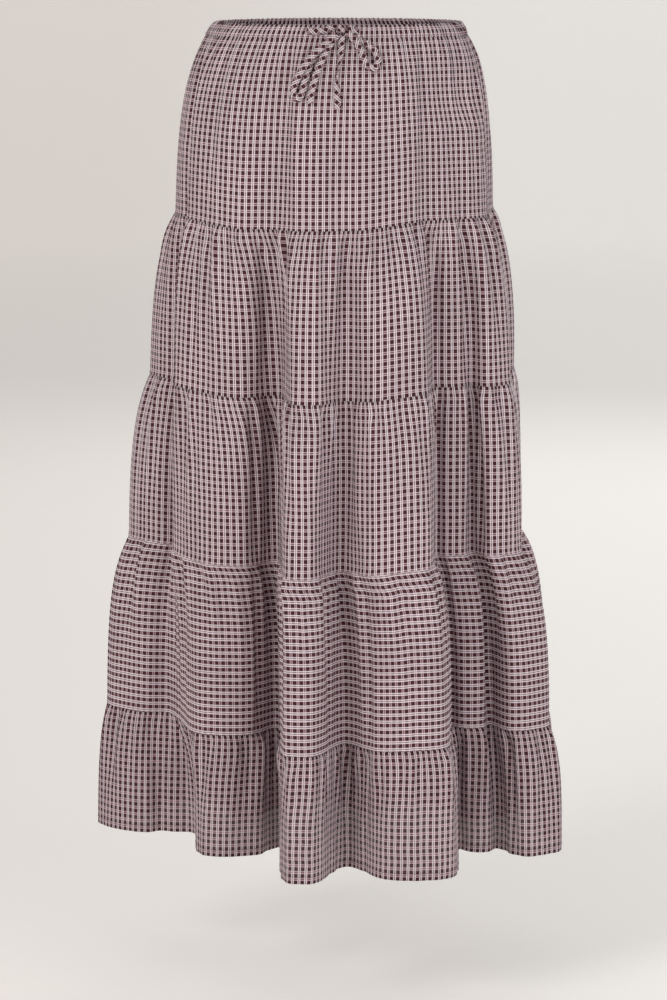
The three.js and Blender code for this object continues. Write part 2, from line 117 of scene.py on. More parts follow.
# The main creases. A crease runs from head to foot, as shares of the panel's width, and from start to end, as
# shares of the tier's height. width is half of its width and depth is how far it sinks, both in millimetres.
Crease = namedtuple("Crease", "head foot start end width depth")
CREASES = {
    ("front", 0): [
        Crease(0.25, 0.21, 0.05, 0.85, 9, 1.3), Crease(0.40, 0.42, 0.10, 1, 12, 1.7),
        Crease(0.61, 0.63, 0.06, 0.42, 7, 1.0), Crease(0.71, 0.72, 0.25, 1, 13, 1.8),
        Crease(0.86, 0.85, 0.08, 0.95, 9, 1.5),
    ],
    ("front", 1): [
        Crease(0.045, 0.035, 0, 0.80, 6, 2.0), Crease(0.150, 0.155, 0, 0.60, 5, 1.8),
        Crease(0.215, 0.200, 0, 0.95, 5, 2.6), Crease(0.262, 0.268, 0, 0.55, 5, 2.2),
        Crease(0.300, 0.318, 0, 0.45, 4, 2.0), Crease(0.355, 0.335, 0, 1, 7, 3.2),
        Crease(0.420, 0.425, 0, 0.70, 5, 2.2), Crease(0.470, 0.480, 0, 0.60, 5, 2.0),
        Crease(0.585, 0.580, 0, 0.35, 5, 1.4), Crease(0.685, 0.670, 0, 0.75, 6, 2.0),
        Crease(0.815, 0.820, 0, 0.60, 5, 2.2), Crease(0.878, 0.865, 0, 1, 5, 3.0),
        Crease(0.930, 0.950, 0, 0.80, 5, 2.4),
    ],
    ("front", 2): [
        Crease(0.060, 0.050, 0, 0.85, 6, 2.2), Crease(0.125, 0.130, 0, 0.60, 6, 2.0),
        Crease(0.212, 0.198, 0, 0.75, 6, 2.4), Crease(0.262, 0.270, 0, 0.50, 5, 2.0),
        Crease(0.302, 0.292, 0, 1, 7, 3.4), Crease(0.345, 0.338, 0, 0.75, 6, 2.6),
        Crease(0.462, 0.478, 0, 0.85, 6, 2.8), Crease(0.560, 0.552, 0, 0.45, 5, 1.6),
        Crease(0.640, 0.628, 0, 0.55, 6, 1.8), Crease(0.700, 0.708, 0, 0.50, 5, 2.0),
        Crease(0.812, 0.806, 0, 0.70, 5, 2.2), Crease(0.893, 0.903, 0, 1, 5, 3.6),
        Crease(0.936, 0.950, 0, 0.85, 6, 2.4),
    ],
    ("front", 3): [
        Crease(0.040, 0.045, 0, 0.60, 6, 1.8), Crease(0.112, 0.098, 0, 0.80, 7, 2.4),
        Crease(0.165, 0.160, 0, 1, 7, 2.6), Crease(0.238, 0.230, 0, 0.60, 6, 2.0),
        Crease(0.276, 0.284, 0, 1, 8, 3.2), Crease(0.322, 0.318, 0, 0.75, 6, 2.6),
        Crease(0.475, 0.468, 0, 0.50, 6, 2.0), Crease(0.604, 0.612, 0, 1, 7, 3.0),
        Crease(0.660, 0.650, 0, 0.55, 6, 2.0), Crease(0.775, 0.770, 0, 0.60, 6, 2.0),
        Crease(0.872, 0.882, 0, 1, 8, 3.2), Crease(0.938, 0.946, 0, 0.70, 6, 2.2),
    ],
    ("front", 4): [
        Crease(0.028, 0.020, 0, 0.70, 6, 1.8), Crease(0.072, 0.082, 0, 1, 8, 2.8),
        Crease(0.128, 0.120, 0, 0.90, 7, 2.4), Crease(0.208, 0.216, 0, 0.65, 6, 2.2),
        Crease(0.268, 0.262, 0, 0.60, 6, 2.2), Crease(0.312, 0.322, 0, 1, 8, 3.4),
        Crease(0.470, 0.476, 0, 0.55, 6, 2.0), Crease(0.545, 0.556, 0, 1, 8, 3.2),
        Crease(0.592, 0.586, 0, 0.70, 6, 2.4), Crease(0.662, 0.672, 0, 0.60, 6, 2.0),
        Crease(0.802, 0.808, 0, 1, 8, 2.8), Crease(0.852, 0.846, 0, 0.70, 6, 2.4),
        Crease(0.905, 0.916, 0, 1, 7, 2.8), Crease(0.962, 0.956, 0, 0.60, 6, 2.0),
    ],
    ("back", 0): [
        Crease(0.18, 0.16, 0.05, 0.70, 10, 1.4), Crease(0.37, 0.39, 0.08, 1, 12, 1.8),
        Crease(0.55, 0.54, 0.20, 0.95, 9, 1.3), Crease(0.78, 0.80, 0.06, 0.90, 12, 1.7),
    ],
    ("back", 1): [
        Crease(0.070, 0.060, 0, 0.70, 6, 2.2), Crease(0.172, 0.180, 0, 1, 6, 2.8),
        Crease(0.262, 0.250, 0, 0.60, 5, 2.0), Crease(0.330, 0.342, 0, 0.90, 6, 2.8),
        Crease(0.455, 0.448, 0, 0.55, 5, 2.0), Crease(0.548, 0.560, 0, 1, 7, 3.0),
        Crease(0.640, 0.632, 0, 0.45, 5, 1.8), Crease(0.742, 0.752, 0, 0.80, 6, 2.6),
        Crease(0.868, 0.860, 0, 0.95, 6, 2.6), Crease(0.950, 0.944, 0, 0.60, 5, 2.0),
    ],
    ("back", 2): [
        Crease(0.052, 0.062, 0, 0.60, 6, 2.0), Crease(0.148, 0.140, 0, 1, 6, 2.8),
        Crease(0.242, 0.254, 0, 0.75, 6, 2.4), Crease(0.366, 0.358, 0, 1, 7, 3.2),
        Crease(0.470, 0.480, 0, 0.55, 5, 2.0), Crease(0.590, 0.582, 0, 0.85, 6, 2.8),
        Crease(0.690, 0.702, 0, 0.60, 6, 2.2), Crease(0.806, 0.798, 0, 1, 7, 3.0),
        Crease(0.915, 0.924, 0, 0.70, 6, 2.2),
    ],
    ("back", 3): [
        Crease(0.085, 0.095, 0, 0.80, 6, 2.4), Crease(0.205, 0.196, 0, 1, 7, 2.8),
        Crease(0.312, 0.322, 0, 0.60, 6, 2.2), Crease(0.428, 0.420, 0, 1, 8, 3.2),
        Crease(0.540, 0.552, 0, 0.70, 6, 2.4), Crease(0.655, 0.648, 0, 0.55, 6, 2.0),
        Crease(0.762, 0.772, 0, 1, 7, 3.0), Crease(0.890, 0.882, 0, 0.75, 6, 2.4),
    ],
    ("back", 4): [
        Crease(0.048, 0.056, 0, 0.70, 6, 2.0), Crease(0.132, 0.124, 0, 1, 8, 3.0),
        Crease(0.228, 0.238, 0, 0.60, 6, 2.2), Crease(0.342, 0.334, 0, 1, 8, 3.0),
        Crease(0.452, 0.460, 0, 0.80, 7, 2.6), Crease(0.572, 0.562, 0, 0.60, 6, 2.2),
        Crease(0.668, 0.678, 0, 1, 8, 3.2), Crease(0.792, 0.786, 0, 0.70, 6, 2.4),
        Crease(0.904, 0.914, 0, 1, 7, 2.8),
    ],
}
# A crease has a soft ridge on either side: its height and place as shares of the crease's depth and width.
SHOULDER_HEIGHT = 0.34
SHOULDER_PLACE = 1.9

# Beside a side seam the folds fade out over this much cloth, and the last of it sinks a little.
SEAM_FADE = 0.012
SEAM_SINK = 0.0006
SEAM_SINK_FADE = 0.003
BUNCH_FADE = 0.09

# The pocket's mouth in the side seam: its drops, how far its front edge stands back, from what share of the
# panel on, and how far that edge lifts.
MOUTH_TOP = 0.015
MOUTH_BOTTOM = 0.128
MOUTH_WIDEST = 0.6
MOUTH_GAPE = 0.012
MOUTH_GAPE_FROM = 0.75
MOUTH_LIP = 0.0045
MOUTH_LIP_FADE = 0.014
MOUTH_STITCH_INSET = 0.006

TIE_WIDTH = 0.008
TIE_THICKNESS = 0.0022

# The woven check, as shares of its repeat.
CHECK_REPEAT = 0.0078
CHECK_LINES = (0.635, 0.935)
CHECK_LINE_WIDTH = 0.122
CHECK_GAP = 0.785
CHECK_GAP_WIDTH = 0.18
CHECK_SOFTNESS = 0.02
THREAD_PITCH = 0.00042


def mix(a, b, share):
    return a + (b - a) * share


def smoothstep(value, low, high):
    t = np.clip((value - low) / (high - low), 0, 1)
    return t * t * (3 - 2 * t)


def swell(v, height, ease):
    return (1 - math.exp(-v / ease)) / (1 - math.exp(-height / ease))


def smooth_point(level, hip):
    angle = math.radians(hip)
    x = level.mid_x + level.width / 2 * math.sin(angle)
    y = level.mid_y - level.depth / 2 * math.cos(angle)
    return np.array([x, y])


def folded_point(level, hip, x, y, opens):
    """The smooth section's point, moved by its share of the hem's fold."""
    return smooth_point(level, hip) + level.open**opens * (np.array([x, y]) - smooth_point(HEM, hip))


def fold_points(level, fold):
    facing = math.radians(fold.facing)
    out = np.array([math.sin(facing), -math.cos(facing)])
    across = np.array([math.cos(facing), math.sin(facing)])
    points = []
    for side in (-1, 0, 1):
        sink = abs(side) * CREST_ROUND * fold.top
        x, y = np.array([fold.x, fold.y]) + side * fold.top / 2 * across - sink * out
        points.append(folded_point(level, fold.hip + side * fold.spread, x, y, fold.opens))
    points.append(folded_point(level, fold.valley_hip, fold.valley_x, fold.valley_y, fold.valley_opens))
    return points


HIPS = [hip for f in FOLDS for hip in (f.hip - f.spread, f.hip, f.hip + f.spread, f.valley_hip)]
SEAM_POINTS = [np.array([p for fold in FOLDS for p in fold_points(level, fold)]) for level in LEVELS]


def spline(points, t, closed):
    """Points of a centripetal Catmull-Rom curve at parameters from 0 to 1."""
    count = len(points)
    if closed:
        place = (t % 1) * count
        k = np.floor(place).astype(int)
        p = [points[(k + shift) % count] for shift in (-1, 0, 1, 2)]
    else:
        before = 2 * points[0] - points[1]
        after = 2 * points[-1] - points[-2]
        padded = np.vstack([before, points, after])
        place = np.clip(t, 0, 1) * (count - 1)
        k = np.minimum(np.floor(place).astype(int), count - 2)
        p = [padded[k + shift] for shift in (0, 1, 2, 3)]
    w = (place - k)[:, None]
    d = [np.sqrt(np.linalg.norm(p[j + 1] - p[j], axis=1))[:, None] for j in range(3)]
    start = ((p[1] - p[0]) / d[0] - (p[2] - p[0]) / (d[0] + d[1]) + (p[2] - p[1]) / d[1]) * d[1]
    end = ((p[2] - p[1]) / d[1] - (p[3] - p[1]) / (d[1] + d[2]) + (p[3] - p[2]) / d[2]) * d[1]
    cubic = 2 * p[1] - 2 * p[2] + start + end
    square = -3 * p[1] + 3 * p[2] - 2 * start - end
    return ((cubic * w + square) * w + start) * w + p[1]


def hip_parameter(hip):
    count = len(HIPS)
    turned = hip + 360 if hip < HIPS[0] else hip
    k = max(j for j, value in enumerate(HIPS) if value <= turned)
    following = HIPS[k + 1] if k + 1 < count else HIPS[0] + 360
    place = k + (turned - HIPS[k]) / (following - HIPS[k])
    return (place - count if hip < HIPS[0] else place) / count


class Section:
    """The skirt's outline at a distance v below seam number index, measured along each panel."""

    STEPS = 1500

    def __init__(self, index, v):
        upper, lower = LEVELS[index], LEVELS[index + 1]
        height = lower.drop - upper.drop
        held = min(max(v, 0), height)
        out = swell(held, height, upper.ease)
        self.drop = upper.drop + v
        self.width = mix(upper.width, lower.width, out)
        self.mid_x = mix(upper.mid_x, lower.mid_x, out)
        self.side_lift = mix(upper.side_lift, lower.side_lift, held / height)
        self.right_lift = mix(upper.right_lift, lower.right_lift, held / height)
        points = mix(SEAM_POINTS[index], SEAM_POINTS[index + 1], out)
        self.runs = {}
        for side, (from_hip, to_hip) in PANELS.items():
            start, end = hip_parameter(from_hip), hip_parameter(to_hip)
            if end < start:
                end += 1
            places = spline(points, np.linspace(start, end, self.STEPS + 1), closed=True)
            steps = np.linalg.norm(np.diff(places, axis=0), axis=1)
            lengths = np.concatenate([[0], np.cumsum(steps)])
            along = np.gradient(places, lengths, axis=0)
            self.runs[side] = (places, lengths, along)

    def length(self, side):
        return self.runs[side][1][-1]

    def at(self, side, share):
        """Places and outward directions at shares of a panel's width."""
        places, lengths, along = self.runs[side]
        wanted = np.clip(share, 0, 1) * lengths[-1]
        place = np.stack([np.interp(wanted, lengths, places[:, k]) for k in (0, 1)], axis=-1)
        way = np.stack([np.interp(wanted, lengths, along[:, k]) for k in (0, 1)], axis=-1)
        way /= np.linalg.norm(way, axis=-1, keepdims=True)
        outward = np.stack([way[..., 1], -way[..., 0], np.zeros(way.shape[:-1])], axis=-1)
        return np.concatenate([place, self.height(place)[..., None]], axis=-1), outward

    def height(self, place):
        x, y = place[..., 0], place[..., 1]
        to_side = smoothstep(np.abs(x - self.mid_x) / (self.width / 2), 0.55, 1)
        to_right = smoothstep(x, 0.010, 0.100) * smoothstep(-y, -0.060, 0.040)
        return -self.drop + self.side_lift * to_side + self.right_lift * to_right * (1 - to_side)


def ridges(places, spacing, seed):
    """Uneven ridges and valleys, from about -1 to 1, at these places along a cloth."""
    draws = np.random.default_rng(seed)
    count = int(abs(places).max() / spacing * 2) + 24
    knots = np.cumsum(spacing / 2 * draws.uniform(0.6, 1.4, count)) - 5 * spacing
    heights = draws.uniform(0.4, 1, count) * np.where(np.arange(count) % 2, 1, -1)
    k = np.clip(np.searchsorted(knots, places) - 1, 0, count - 2)
    t = smoothstep(places, knots[k], knots[k + 1])
    return mix(heights[k], heights[k + 1], t)


def bunched(share, index):
    """How far the gathered cloth's columns bunch up along the seam."""
    def wave(turns, size, shift):
        return size / (TAU * turns) * (np.sin(TAU * turns * share + shift) - math.sin(shift))
    return wave(5, 0.05, 1.3 + index) + wave(11, 0.05, 2.9 * index)


def large_gathers(share, v, index, height):
    depth = GATHER_DEPTH if index else WAIST_GATHER_DEPTH
    rise = 0.34 + 0.66 * np.clip(v / GATHER_PEAK, 0, 1)
    fade = np.exp(-np.clip(v - GATHER_PEAK, 0, None) / GATHER_FADE)
    strength = 1 + GATHER_UNEVEN * np.sin(TAU * 7 * share + 2.1 * index)
    wave = strength * np.cos(TAU * GATHERS[index] * share - math.pi / 3)
    return depth * rise * fade * (1 - np.clip(v / height, 0, 1) ** 3) * wave


def small_gathers(across, v, seed):
    """Small uneven gathers that run down from the seam and lean a little."""
    drift = 0.10 * ridges(across, 0.13, seed)
    total = np.zeros(np.broadcast(across, v).shape)
    for k, gather in enumerate(SMALL_GATHERS):
        reach = gather.fade * (1 + 0.6 * ridges(across, 3.3 * gather.spacing, seed + 10 + k))
        rise = 0.25 + 0.75 * np.clip(v / gather.peak, 0, 1)
        fade = np.exp(-np.clip(v - gather.peak, 0, None) / reach)
        total = total + gather.depth * rise * fade * ridges(across + drift * v, gather.spacing, seed + 20 + k)
    return total


def soft_waves(across, v, height, seed, loose_foot):
    """Broad soft waves that stay down the cloth."""
    lean = 0.22 * ridges(across, 0.19, seed + 31)
    wave = SOFT_WAVE.depth * ridges(across + lean * v, SOFT_WAVE.spacing, seed + 32)
    share = np.clip(v / height, 0, 1)
    top = np.clip(v / SOFT_WAVE.peak, 0, 1)
    foot = 1 if loose_foot else 1 - share**4
    return wave * top * foot


def creased(table, share, v, height, width, loose_foot):
    """How far the main creases sink the cloth at shares of its width, with soft ridges beside them."""
    down = np.clip(v / height, 0, 1)
    total = np.zeros(len(share))
    for crease in table:
        half = crease.width / 1000
        away = (share - mix(crease.head, crease.foot, down)) * width / half
        bell = np.exp(-(away**2))
        beside = np.exp(-((away - SHOULDER_PLACE) ** 2)) + np.exp(-((away + SHOULDER_PLACE) ** 2))
        rise = 0.35 + 0.65 * smoothstep(down, crease.start, crease.start + 0.12)
        if crease.start > 0:
            rise = smoothstep(down, crease.start, crease.start + 0.2)
        fade = 1 - smoothstep(down, mix(crease.start, crease.end, 0.55), crease.end)
        if crease.end >= 1:
            fade = 1 if loose_foot else 1 - down**6
        total -= crease.depth / 1000 * rise * fade * (bell - SHOULDER_HEIGHT * beside)
    return total


def new_object(name, vertices, faces, uvs=None):
    mesh = bpy.data.meshes.new(name)
    mesh.from_pydata([tuple(v) for v in vertices], [], faces)
    if uvs is not None:
        layer = mesh.uv_layers.new(name="weave")
        corners = np.empty(len(mesh.loops), dtype=np.int32)
        mesh.loops.foreach_get("vertex_index", corners)
        layer.data.foreach_set("uv", np.asarray(uvs, dtype=np.float32)[corners].ravel())
    mesh.polygons.foreach_set("use_smooth", [True] * len(mesh.polygons))
    mesh.update()
    obj = bpy.data.objects.new(name, mesh)
    bpy.context.scene.collection.objects.link(obj)
    return obj


def grid_object(name, points, uvs, wrap=False):
    """A mesh over a grid of points, joined round its columns where it wraps."""
    rows, columns = points.shape[:2]
    at = np.arange(rows * columns).reshape(rows, columns)
    right = np.roll(at, -1, axis=1) if wrap else at[:, 1:]
    left = at if wrap else at[:, :-1]
    faces = np.stack([left[:-1], left[1:], right[1:], right[:-1]], axis=-1).reshape(-1, 4)
    return new_object(name, points.reshape(-1, 3), faces.tolist(), uvs.reshape(-1, 2))


def thicken(obj):
    """Gives a face of cloth its thickness, on its inner side."""
    shell = obj.modifiers.new("thickness", "SOLIDIFY")
    shell.thickness = CLOTH_THICKNESS
    shell.offset = -1


def dress(obj, material, node):
    """A piece's material, and the node that it stands for."""
    obj.data.materials.append(material)
    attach(obj, "root")
    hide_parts(node)


# One row of a panel: v is its place below the seam, out how far it stands off the solid's outer face, down
# the cloth's own length to it, and loose how much of the gathers it takes.
Row = namedtuple("Row", "v out down loose")


def panel_rows(index, height):
    rows = []
    if index == 0:
        rows += [Row(CASING_HEIGHT - 0.003, -0.0012, -0.003, 0.5), Row(CASING_HEIGHT, -0.0004, 0, 0.7)]
        first = CASING_HEIGHT
    else:
        rows += [
            Row(-ALLOWANCE, -0.0036, -ALLOWANCE, 0.1),
            Row(-0.004, -0.0032, -0.004, 0.15),
            Row(-0.001, -0.0016, -0.001, 0.3),
            Row(0.0004, -0.0003, 0.0004, 0.7),
        ]
        first = 0
    v = first + 0.0014
    step = 0.0010
    while v < height - 0.008:
        rows.append(Row(v, 0, v - first, 1))
        step = min(step * 1.3, ROW_HEIGHT)
        v += step
    last = height - first
    if index == len(LEVELS) - 2:
        rows += [
            Row(height - 0.0055, 0, last - 0.0055, 1),
            Row(height - 0.002, 0, last - 0.002, 1),
            Row(height - 0.0005, -0.0001, last - 0.0005, 1),
            Row(height, -0.0006, last, 1),
            Row(height - 0.0004, -0.0012, last + 0.0008, 1),
            Row(height - 0.003, -0.0015, last + 0.003, 1),
            Row(height - HEM_TURN + 0.0004, -0.0014, last + HEM_TURN, 1),
            Row(height - HEM_TURN, -0.0009, last + HEM_TURN, 1),
        ]
    else:
        rows += [
            Row(height - 0.005, 0.0001, last - 0.005, 1),
            Row(height - 0.0025, 0.0004, last - 0.0025, 1),
            Row(height - 0.0008, 0.0007, last - 0.0008, 1),
            Row(height + 0.0002, 0.0006, last + 0.0002, 1),
            Row(height + 0.0006, 0.0001, last + 0.0010, 1),
            Row(height + 0.0003, -0.0008, last + 0.002, 1),
            Row(height - 0.002, -0.0018, last + 0.004, 1),
            Row(height - ALLOWANCE, -0.0024, last + ALLOWANCE, 1),
        ]
    return rows


def mouth_gape(drop):
    """How far the pocket's front edge stands back from the side seam at a drop."""
    share = np.clip((drop - MOUTH_TOP) / (MOUTH_BOTTOM - MOUTH_TOP), 0, 1)
    return MOUTH_GAPE * (share / MOUTH_WIDEST) ** 3 * ((1 - share) / (1 - MOUTH_WIDEST)) ** 2


def smoothed(values, reach):
    """The running mean over twice this reach, with both ends kept."""
    before = 2 * values[0] - values[reach:0:-1]
    after = 2 * values[-1] - values[-2:-reach - 2:-1]
    window = np.full(2 * reach + 1, 1 / (2 * reach + 1))
    return np.convolve(np.concatenate([before, values, after]), window, mode="valid")


def cloth_row(index, side, row, columns):
    """One row of a gathered panel: even columns of cloth, laid along its folds, and the ways they face."""
    height = LEVELS[index + 1].drop - LEVELS[index].drop
    flat_width = FLAT_WIDTHS[side][index]
    seed = 100 * index + (0 if side == "front" else 50)
    loose_foot = index == len(LEVELS) - 2
    v = max(row.v, 0)
    below = v - (CASING_HEIGHT if index == 0 else 0)
    section = Section(index, row.v)
    trim = mouth_gape(row.v) if index == 0 and side == "front" else 0

    def laid(share):
        across = share * flat_width
        pulled = SIDE_PULL * ridges(across, SIDE_PULL_SPACING, seed + 40) * math.exp(-v / SIDE_PULL_FADE)
        placed = share + bunched(share, index) * math.exp(-v / BUNCH_FADE) + pulled / flat_width
        placed = placed - trim / section.length(side) * smoothstep(share, MOUTH_GAPE_FROM, 1)
        place, outward = section.at(side, placed)
        creases = creased(CREASES[side, index], share, v, height, section.length(side), loose_foot)
        offset = large_gathers(share, v, index, height)
        offset = offset + row.loose * small_gathers(across, below, seed) * (YOKE_GATHERS if index == 0 else 1)
        offset = offset + soft_waves(across, v, height, seed, loose_foot)
        offset = offset + row.loose * creases
        edge = np.minimum(share, 1 - share) * flat_width
        offset = offset * smoothstep(edge, 0, SEAM_FADE)
        offset = offset - SEAM_SINK * (1 - smoothstep(edge, 0, SEAM_SINK_FADE))
        lip = 1 - smoothstep((1 - share) * flat_width, 0, MOUTH_LIP_FADE)
        offset = offset + MOUTH_LIP * trim / MOUTH_GAPE * lip
        return place + outward * (offset + row.out)[:, None], outward

    fine = np.linspace(0, 1, FINE_STEPS * columns + 1)
    steps = np.linalg.norm(np.diff(laid(fine)[0], axis=0), axis=1)
    lengths = np.concatenate([[0], np.cumsum(steps)])
    even = np.linspace(0, 1, columns + 1)
    drift = np.interp(even * lengths[-1], lengths, fine) - even
    moved = even + drift - smoothed(drift, int(DRIFT_REACH / COLUMN_WIDTH))
    kept = np.concatenate([[0], np.cumsum(np.clip(np.diff(moved) * columns, *COLUMN_SHARES))])
    return laid(kept / kept[-1])


def cloth_panel(name, index, side):
    """A panel of gathered cloth on the skirt's solid, with turned edges at its seams."""
    height = LEVELS[index + 1].drop - LEVELS[index].drop
    columns = int(round(FLAT_WIDTHS[side][index] / COLUMN_WIDTH))
    across = np.linspace(0, FLAT_WIDTHS[side][index], columns + 1)
    points, uvs = [], []
    for row in panel_rows(index, height):
        points.append(cloth_row(index, side, row, columns)[0])
        uvs.append(np.stack([across, np.full_like(across, row.down)], axis=-1))
    obj = grid_object(name, np.array(points), np.array(uvs))
    thicken(obj)
    return obj


# Materials

class Tree:
    """A short way to write a material's nodes."""

    def __init__(self, name):
        self.material = bpy.data.materials.new(name)
        self.material.use_nodes = True
        self.tree = self.material.node_tree
        self.tree.nodes.clear()

    def node(self, kind, **values):
        node = self.tree.nodes.new(kind)
        for key, value in values.items():
            setattr(node, key, value)
        return node

    def feed(self, socket, value):
        if isinstance(value, bpy.types.NodeSocket):
            self.tree.links.new(value, socket)
        else:
            socket.default_value = value

    def math(self, operation, a, b=0.0):
        node = self.node("ShaderNodeMath", operation=operation)
        self.feed(node.inputs[0], a)
        self.feed(node.inputs[1], b)
        return node.outputs[0]

    def blend(self, share, a, b, kind="MIX"):
        node = self.node("ShaderNodeMix", data_type="RGBA", blend_type=kind)
        self.feed(node.inputs["Factor"], share)
        self.feed(node.inputs["A"], a)
        self.feed(node.inputs["B"], b)
        return node.outputs["Result"]

    def noise(self, vector, scale, detail=2.0):
        node = self.node("ShaderNodeTexNoise")
        self.feed(node.inputs["Vector"], vector)
        self.feed(node.inputs["Scale"], scale)
        self.feed(node.inputs["Detail"], detail)
        return node.outputs["Fac"]

    def scaled(self, vector, scale):
        node = self.node("ShaderNodeMapping")
        self.feed(node.inputs["Vector"], vector)
        node.inputs["Scale"].default_value = scale
        return node.outputs["Vector"]

    def ramp(self, value, low, high, start=0.0, end=1.0):
        node = self.node("ShaderNodeMapRange", interpolation_type="SMOOTHSTEP")
        limits = {"From Min": low, "From Max": high, "To Min": start, "To Max": end}
        self.feed(node.inputs["Value"], value)
        for name, limit in limits.items():
            self.feed(node.inputs[name], limit)
        return node.outputs["Result"]


def linear(red, green, blue):
    """A colour's linear values from its screen values, 0 to 255."""
    def one(value):
        share = value / 255
        return share / 12.92 if share <= 0.04045 else ((share + 0.055) / 1.055) ** 2.4
    return (one(red), one(green), one(blue), 1.0)


MAROON = linear(76, 41, 46)
PINK = linear(222, 192, 200)
OFF_WHITE = linear(251, 238, 245)
THREAD = linear(70, 50, 54)
THREAD_LIGHT = linear(104, 78, 82)


def stripe(tree, coordinate, gap_share):
    """The share of pale yarn across one way of the check."""
    phase = tree.math("FRACT", tree.math("MULTIPLY", coordinate, 1 / CHECK_REPEAT))

    def pulse(centre, width, strength):
        away = tree.math("ABSOLUTE", tree.math("SUBTRACT", phase, centre))
        return tree.ramp(away, width / 2 - CHECK_SOFTNESS, width / 2 + CHECK_SOFTNESS, strength, 0.0)

    lines = [pulse(centre, CHECK_LINE_WIDTH, 1.0) for centre in CHECK_LINES]
    gap = pulse(CHECK_GAP, CHECK_GAP_WIDTH, gap_share)
    return tree.math("MAXIMUM", tree.math("MAXIMUM", *lines), gap)


def check_material(name, turn=0, tone=1.0, through=0.16, cover=1.0):
    """Thin woven cotton check.

    turn is the angle from the cloth's length to its warp, tone its lightness, through the share of light that
    comes through it and cover how opaque one face is.
    """
    tree = Tree(name)
    weave = tree.node("ShaderNodeUVMap", uv_map="weave").outputs["UV"]
    turned = tree.node("ShaderNodeMapping", vector_type="POINT")
    tree.feed(turned.inputs["Vector"], weave)
    turned.inputs["Rotation"].default_value = (0, 0, math.radians(turn))
    parts = tree.node("ShaderNodeSeparateXYZ")
    tree.feed(parts.inputs[0], turned.outputs["Vector"])
    across, along = parts.outputs["X"], parts.outputs["Y"]
    warp = stripe(tree, across, 0.26)
    weft = stripe(tree, along, 0.24)
    warp_yarn = tree.noise(tree.scaled(turned.outputs["Vector"], (1500, 60, 1)), 1.0)
    weft_yarn = tree.noise(tree.scaled(turned.outputs["Vector"], (60, 1500, 1)), 1.0)
    warp = tree.math("MULTIPLY", warp, tree.ramp(warp_yarn, 0.25, 0.75, 0.82, 1.0))
    weft = tree.math("MULTIPLY", weft, tree.ramp(weft_yarn, 0.25, 0.75, 0.66, 0.90))
    colour = tree.blend(weft, MAROON, PINK)
    colour = tree.blend(warp, colour, OFF_WHITE)
    patches = tree.noise(tree.scaled(turned.outputs["Vector"], (14, 9, 1)), 1.0, 3.0)
    grey = tree.ramp(patches, 0.3, 0.7, 0.93 * tone, 1.03 * tone)
    shade = tree.node("ShaderNodeCombineColor")
    for socket in shade.inputs[:3]:
        tree.feed(socket, grey)
    colour = tree.blend(1.0, colour, shade.outputs[0], "MULTIPLY")

    def wave(coordinate):
        return tree.math("SINE", tree.math("MULTIPLY", coordinate, TAU / (2 * THREAD_PITCH)))

    threads = tree.math("MULTIPLY", wave(across), wave(along))
    height = tree.math("ADD", tree.math("MULTIPLY", threads, 0.35), tree.math("ADD", warp, weft))
    bump = tree.node("ShaderNodeBump")
    bump.inputs["Strength"].default_value = 0.25
    bump.inputs["Distance"].default_value = 0.00012
    tree.feed(bump.inputs["Height"], height)
    cloth = tree.node("ShaderNodeBsdfPrincipled")
    tree.feed(cloth.inputs["Base Color"], colour)
    tree.feed(cloth.inputs["Normal"], bump.outputs["Normal"])
    roughness = tree.ramp(warp_yarn, 0.2, 0.8, 0.78, 0.92)
    tree.feed(cloth.inputs["Roughness"], roughness)
    cloth.inputs["Alpha"].default_value = cover
    cloth.inputs["Specular IOR Level"].default_value = 0.15
    cloth.inputs["Sheen Weight"].default_value = 0.03
    cloth.inputs["Sheen Roughness"].default_value = 0.5
    glow = tree.node("ShaderNodeBsdfTranslucent")
    tree.feed(glow.inputs["Color"], colour)
    both = tree.node("ShaderNodeMixShader")
    both.inputs["Fac"].default_value = through
    tree.feed(both.inputs[1], cloth.outputs[0])
    tree.feed(both.inputs[2], glow.outputs[0])
    output = tree.node("ShaderNodeOutputMaterial")
    tree.feed(output.inputs["Surface"], both.outputs[0])
    return tree.material


def thread_material():
    tree = Tree("sewing_thread")
    place = tree.node("ShaderNodeNewGeometry").outputs["Position"]
    twist = tree.noise(tree.scaled(place, (2600, 2600, 900)), 1.0)
    thread = tree.node("ShaderNodeBsdfPrincipled")
    tree.feed(thread.inputs["Base Color"], tree.blend(twist, THREAD, THREAD_LIGHT))
    tree.feed(thread.inputs["Roughness"], tree.ramp(twist, 0.2, 0.8, 0.5, 0.7))
    output = tree.node("ShaderNodeOutputMaterial")
    tree.feed(output.inputs["Surface"], thread.outputs[0])
    return tree.material


# The paper's glow is painted studio light, and the step from the right tone to the darker left tone is
# painted shade.
PAPER_GLOW = 0.27
PAPER_SHADED_LEFT = linear(240, 235, 230)
PAPER_LIT_RIGHT = linear(251, 249, 246)


def stage_material():
    """Pale paper with painted shade that darkens it to the left, and a painted glow that stands for even
    studio light on all of it.
    """
    tree = Tree("backdrop_paper")
    place = tree.node("ShaderNodeNewGeometry").outputs["Position"]
    parts = tree.node("ShaderNodeSeparateXYZ")
    tree.feed(parts.inputs[0], place)
    # Painted shade: the paper's colour and its glow darken towards the left.
    side = tree.ramp(parts.outputs["X"], -0.9, 0.9)
    paper = tree.node("ShaderNodeBsdfPrincipled")
    tone = tree.blend(side, PAPER_SHADED_LEFT, PAPER_LIT_RIGHT)
    tree.feed(paper.inputs["Base Color"], tone)
    tree.feed(paper.inputs["Emission Color"], tone)
    paper.inputs["Emission Strength"].default_value = PAPER_GLOW
    paper.inputs["Roughness"].default_value = 0.95
    paper.inputs["Specular IOR Level"].default_value = 0.1
    output = tree.node("ShaderNodeOutputMaterial")
    tree.feed(output.inputs["Surface"], paper.outputs[0])
    return tree.material


# Stage, light and camera

